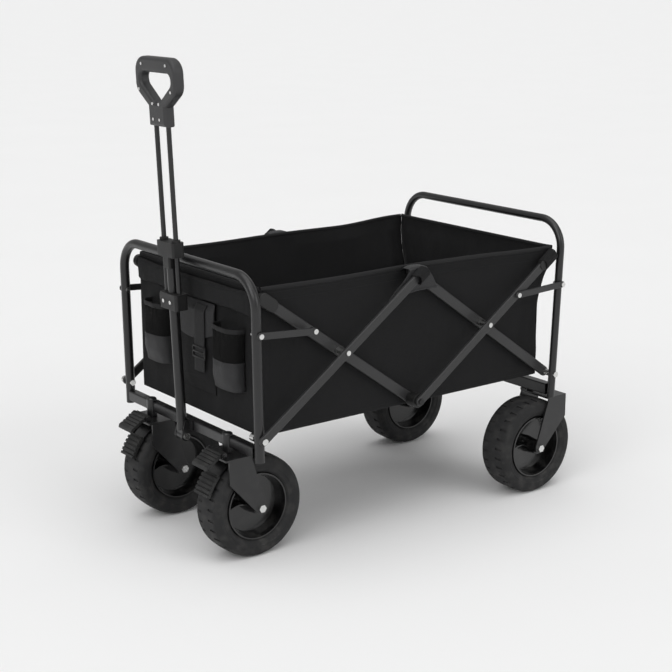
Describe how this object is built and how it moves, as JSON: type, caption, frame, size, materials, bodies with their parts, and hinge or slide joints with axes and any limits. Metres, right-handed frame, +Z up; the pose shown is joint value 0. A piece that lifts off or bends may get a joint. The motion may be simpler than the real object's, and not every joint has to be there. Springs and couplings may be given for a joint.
{
  "type": "folding camp wagon",
  "caption": "Folding camp wagon with a fabric bag hung in a scissor-bar steel frame, swivelling front wheels with foot brakes and a telescoping pull handle.",
  "frame": {"origin": "on the floor under the middle of the overall box", "axes": "+X towards the handle end, +Y to the wagon's left, +Z up"},
  "size_m": [0.9412, 0.5618, 1.0006],
  "materials": {
    "frame_paint": "satin powder coat",
    "bar_paint": "semi-gloss powder coat",
    "bolt_steel": "zinc plated",
    "moulded_black": "fine grain moulding",
    "grip_black": "satin moulding",
    "tyre_rubber": "dull rubber",
    "rim_gloss": "gloss moulding",
    "bag_fabric": "coated woven polyester",
    "pocket_mesh": "open mesh with woven pouch"
  },
  "bodies": {
    "front_frame": {"front_hoop": "frame_paint", "front_cross_tube": "frame_paint", "caster_housings": "frame_paint", "pole_bracket": "frame_paint", "front_frame_bolts": "bolt_steel"},
    "bag": {"bag_floor": "bag_fabric", "bag_side_left": "bag_fabric", "bag_side_right": "bag_fabric", "bag_front_panel": "bag_fabric", "front_band": "bag_fabric", "cup_pockets": "pocket_mesh", "centre_pocket": "bag_fabric"},
    "bag_rear": {"bag_rear_panel": "bag_fabric"},
    "bars_a": {"bar_a_left": "bar_paint", "bar_a_right": "bar_paint", "bars_a_rivets": "bolt_steel"},
    "bars_b": {"bar_b_left": "bar_paint", "bar_b_right": "bar_paint", "mid_low_hubs": "moulded_black", "corner_caps_front": "moulded_black"},
    "bars_c": {"bar_c_left": "bar_paint", "bar_c_right": "bar_paint", "bars_c_rivets": "bolt_steel", "corner_caps_rear": "moulded_black"},
    "bars_d": {"bar_d_left": "bar_paint", "bar_d_right": "bar_paint"},
    "rear_frame": {"rear_hoop": "frame_paint", "rear_cross_tube": "frame_paint", "rear_fork_left": "frame_paint", "rear_fork_right": "frame_paint", "rear_axle_bolts": "bolt_steel", "rear_frame_bolts": "bolt_steel"},
    "front_links": {"links_front": "bar_paint", "link_rivets_front": "bolt_steel"},
    "rear_links": {"links_rear": "bar_paint", "link_rivets_rear": "bolt_steel"},
    "caster_left": {"caster_fork_left": "frame_paint", "brake_block_left": "moulded_black", "caster_axle_left": "bolt_steel"},
    "caster_right": {"caster_fork_right": "frame_paint", "brake_block_right": "moulded_black", "caster_axle_right": "bolt_steel"},
    "brake_left": {"brake_pedal_left": "moulded_black"},
    "brake_right": {"brake_pedal_right": "moulded_black"},
    "wheel_front_left": {"tyre_front_left": "tyre_rubber", "rim_front_left": "rim_gloss"},
    "wheel_front_right": {"tyre_front_right": "tyre_rubber", "rim_front_right": "rim_gloss"},
    "wheel_rear_left": {"tyre_rear_left": "tyre_rubber", "rim_rear_left": "rim_gloss"},
    "wheel_rear_right": {"tyre_rear_right": "tyre_rubber", "rim_rear_right": "rim_gloss"},
    "handle_pole": {"main_tube": "frame_paint", "pole_block": "moulded_black"},
    "handle_slide": {"slide_rods": "frame_paint", "slider": "moulded_black", "grip_front_shell": "grip_black", "grip_back_shell": "grip_black", "handle_screws": "bolt_steel"}
  },
  "joints": [
    {"name": "fold", "type": "hinge", "parent": "front_frame", "child": "bars_a", "pos_m": [0.39566, 0, 0.278], "axis": [0, 1, 0], "range_deg": [0, 36], "deforming": ["bag_floor", "bag_side_left", "bag_side_right", "cup_pockets", "centre_pocket"]},
    {"name": "scissor_ab", "type": "hinge", "parent": "bars_a", "child": "bars_b", "pos_m": [0.19213, 0, 0.42318], "axis": [0, 1, 0], "range_deg": [-72.02, 0.02]},
    {"name": "mid_foot", "type": "hinge", "parent": "bars_b", "child": "bars_c", "pos_m": [0, 0, 0.28613], "axis": [0, 1, 0], "range_deg": [-0.02, 72.02]},
    {"name": "scissor_cd", "type": "hinge", "parent": "bars_c", "child": "bars_d", "pos_m": [-0.19213, 0, 0.42318], "axis": [0, 1, 0], "range_deg": [-72.02, 0.02]},
    {"name": "rear_pivot", "type": "hinge", "parent": "bars_d", "child": "rear_frame", "pos_m": [-0.39566, 0, 0.278], "axis": [0, 1, 0], "range_deg": [-0.02, 36.02]},
    {"name": "front_link_pivot", "type": "hinge", "parent": "front_frame", "child": "front_links", "pos_m": [0.3986, 0, 0.48835], "axis": [0, 1, 0], "range_deg": [-0.02, 70.48]},
    {"name": "rear_link_pivot", "type": "hinge", "parent": "rear_frame", "child": "rear_links", "pos_m": [-0.40398, 0, 0.48512], "axis": [0, 1, 0], "range_deg": [-67.38, 0.02]},
    {"name": "bag_lift", "type": "slide", "parent": "front_frame", "child": "bag", "axis": [0, 0, 1], "range_m": [-0.0005, 0.17328]},
    {"name": "bag_rear_lift", "type": "slide", "parent": "rear_frame", "child": "bag_rear", "axis": [0, 0, 1], "range_m": [-0.0005, 0.17328]},
    {"name": "caster_swivel_left", "type": "hinge", "parent": "front_frame", "child": "caster_left", "pos_m": [0.402, 0.15, 0.225], "axis": [0, 0, 1], "continuous": true},
    {"name": "caster_swivel_right", "type": "hinge", "parent": "front_frame", "child": "caster_right", "pos_m": [0.402, -0.15, 0.225], "axis": [0, 0, 1], "continuous": true},
    {"name": "brake_left_press", "type": "hinge", "parent": "caster_left", "child": "brake_left", "pos_m": [0.429, 0.15, 0.2306], "axis": [0, 1, 0], "range_deg": [0, 6], "stiffness_Nm_per_rad": 1},
    {"name": "brake_right_press", "type": "hinge", "parent": "caster_right", "child": "brake_right", "pos_m": [0.429, -0.15, 0.2306], "axis": [0, 1, 0], "range_deg": [0, 6], "stiffness_Nm_per_rad": 1},
    {"name": "spin_front_left", "type": "hinge", "parent": "caster_left", "child": "wheel_front_left", "pos_m": [0.353, 0.15, 0.108], "axis": [0, 1, 0], "continuous": true},
    {"name": "spin_front_right", "type": "hinge", "parent": "caster_right", "child": "wheel_front_right", "pos_m": [0.353, -0.15, 0.108], "axis": [0, 1, 0], "continuous": true},
    {"name": "spin_rear_left", "type": "hinge", "parent": "rear_frame", "child": "wheel_rear_left", "pos_m": [-0.3626, 0.221, 0.108], "axis": [0, 1, 0], "continuous": true},
    {"name": "spin_rear_right", "type": "hinge", "parent": "rear_frame", "child": "wheel_rear_right", "pos_m": [-0.3626, -0.221, 0.108], "axis": [0, 1, 0], "continuous": true},
    {"name": "handle_tilt", "type": "hinge", "parent": "front_frame", "child": "handle_pole", "pos_m": [0.4165, 0, 0.226], "axis": [0, 1, 0], "range_deg": [0, 75]},
    {"name": "handle_telescope", "type": "slide", "parent": "handle_pole", "child": "handle_slide", "axis": [0.041, 0, 0.9992], "range_m": [-0.21, 0.045]}
  ],
  "couplings": [
    {"joint": "scissor_ab", "follows": "fold", "ratio": -2},
    {"joint": "mid_foot", "follows": "fold", "ratio": 2},
    {"joint": "scissor_cd", "follows": "fold", "ratio": -2},
    {"joint": "rear_pivot", "follows": "fold", "ratio": 1},
    {"joint": "front_link_pivot", "follows": "fold", "ratio": 1.9572},
    {"joint": "rear_link_pivot", "follows": "fold", "ratio": -1.8711},
    {"joint": "bag_lift", "follows": "fold", "m_per_rad": 0.27499},
    {"joint": "bag_rear_lift", "follows": "fold", "m_per_rad": 0.27499}
  ]
}
